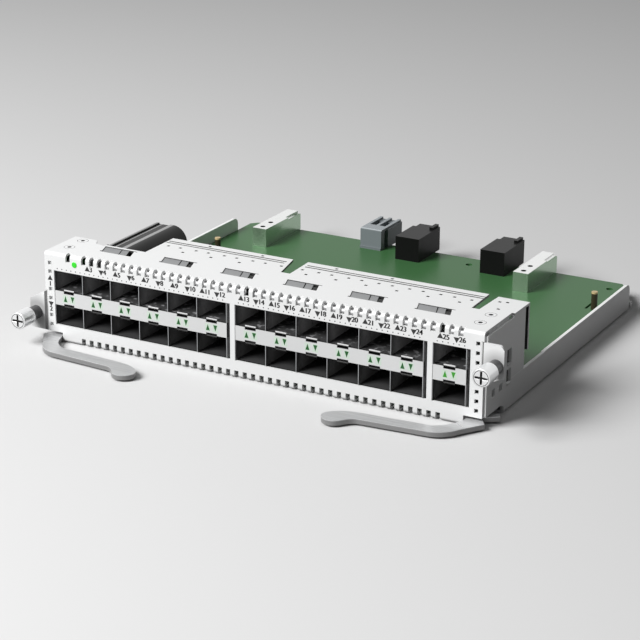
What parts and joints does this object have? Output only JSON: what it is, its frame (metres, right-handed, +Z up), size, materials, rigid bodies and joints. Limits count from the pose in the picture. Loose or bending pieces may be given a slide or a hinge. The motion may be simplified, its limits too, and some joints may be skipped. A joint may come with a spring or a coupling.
{
  "type": "switch line card",
  "caption": "Half-width switch line card: stacked optical port cages in a white bent panel, an open tray with its board, ejector levers and captive thumbscrews.",
  "frame": {"origin": "on the tray's flat underside, on the centre line, 80 mm behind the front panel's face", "axes": "+X along the front panel to the right seen from the front, +Y towards the rear connectors, +Z up out of the tray"},
  "size_m": [0.224, 0.2105, 0.04],
  "materials": {
    "panel_paint": "satin white powder coat",
    "cage_steel": "plain sheet",
    "strip_metal": "satin light grey",
    "light_green": "unlit green light pipe",
    "status_green": "lit green",
    "board_green": "satin solder mask",
    "black_plastic": "moulded",
    "grey_plastic": "moulded blue-grey",
    "dark_gloss": "glossy dark",
    "guide_metal": "satin",
    "post_brass": "plain",
    "lever_metal": "satin plated",
    "knob_steel": "satin plated",
    "collar_steel": "dark plated",
    "screw_steel": "plain"
  },
  "bodies": {
    "card": {"front_panel": "panel_paint", "tray": "panel_paint", "cover_screws": "screw_steel", "top_contact_spring": "cage_steel", "left_contact_spring": "cage_steel", "right_contact_spring": "cage_steel", "status_light": "status_green", "circuit_board": "board_green", "board_standoffs": "screw_steel", "power_connector": "grey_plastic", "air_guide": "dark_gloss", "left_backplane_connector": "black_plastic", "right_backplane_connector": "black_plastic", "left_guide_block": "guide_metal", "right_guide_block": "guide_metal", "left_board_post": "post_brass", "right_board_post": "post_brass", "left_lever_bracket": "screw_steel", "right_lever_bracket": "screw_steel", "left_lever_pin": "screw_steel", "right_lever_pin": "screw_steel", "left_screw_ferrule": "collar_steel", "right_screw_ferrule": "collar_steel", "left_port_cage": "cage_steel", "left_light_strip": "strip_metal", "left_port_lights": "light_green", "left_port_sockets": "black_plastic", "middle_port_cage": "cage_steel", "middle_light_strip": "strip_metal", "middle_port_lights": "light_green", "middle_port_sockets": "black_plastic", "right_port_cage": "cage_steel", "right_light_strip": "strip_metal", "right_port_lights": "light_green", "right_port_sockets": "black_plastic"},
    "left_lever": {"left_lever": "lever_metal"},
    "left_screw_carrier": {"left_screw_clip": "screw_steel"},
    "left_screw": {"left_thumbscrew": "knob_steel"},
    "right_lever": {"right_lever": "lever_metal"},
    "right_screw_carrier": {"right_screw_clip": "screw_steel"},
    "right_screw": {"right_thumbscrew": "knob_steel"}
  },
  "joints": [
    {"name": "left_lever_hinge", "type": "hinge", "parent": "card", "child": "left_lever", "pos_m": [-0.0967, -0.0715, 0.00175], "axis": [0, 0, -1], "range_deg": [0, 60]},
    {"name": "left_screw_travel", "type": "slide", "parent": "card", "child": "left_screw_carrier", "axis": [0, 1, 0], "range_m": [0, 0.005], "stiffness_N_per_m": 500, "springref_m": -0.002},
    {"name": "left_screw_turn", "type": "hinge", "parent": "left_screw_carrier", "child": "left_screw", "pos_m": [-0.1082, -0.088, 0.0116], "axis": [0, -1, 0], "continuous": true},
    {"name": "right_lever_hinge", "type": "hinge", "parent": "card", "child": "right_lever", "pos_m": [0.0975, -0.0715, 0.00175], "axis": [0, 0, 1], "range_deg": [0, 60]},
    {"name": "right_screw_travel", "type": "slide", "parent": "card", "child": "right_screw_carrier", "axis": [0, 1, 0], "range_m": [0, 0.005], "stiffness_N_per_m": 500, "springref_m": -0.002},
    {"name": "right_screw_turn", "type": "hinge", "parent": "right_screw_carrier", "child": "right_screw", "pos_m": [0.1082, -0.088, 0.027], "axis": [0, -1, 0], "continuous": true}
  ]
}
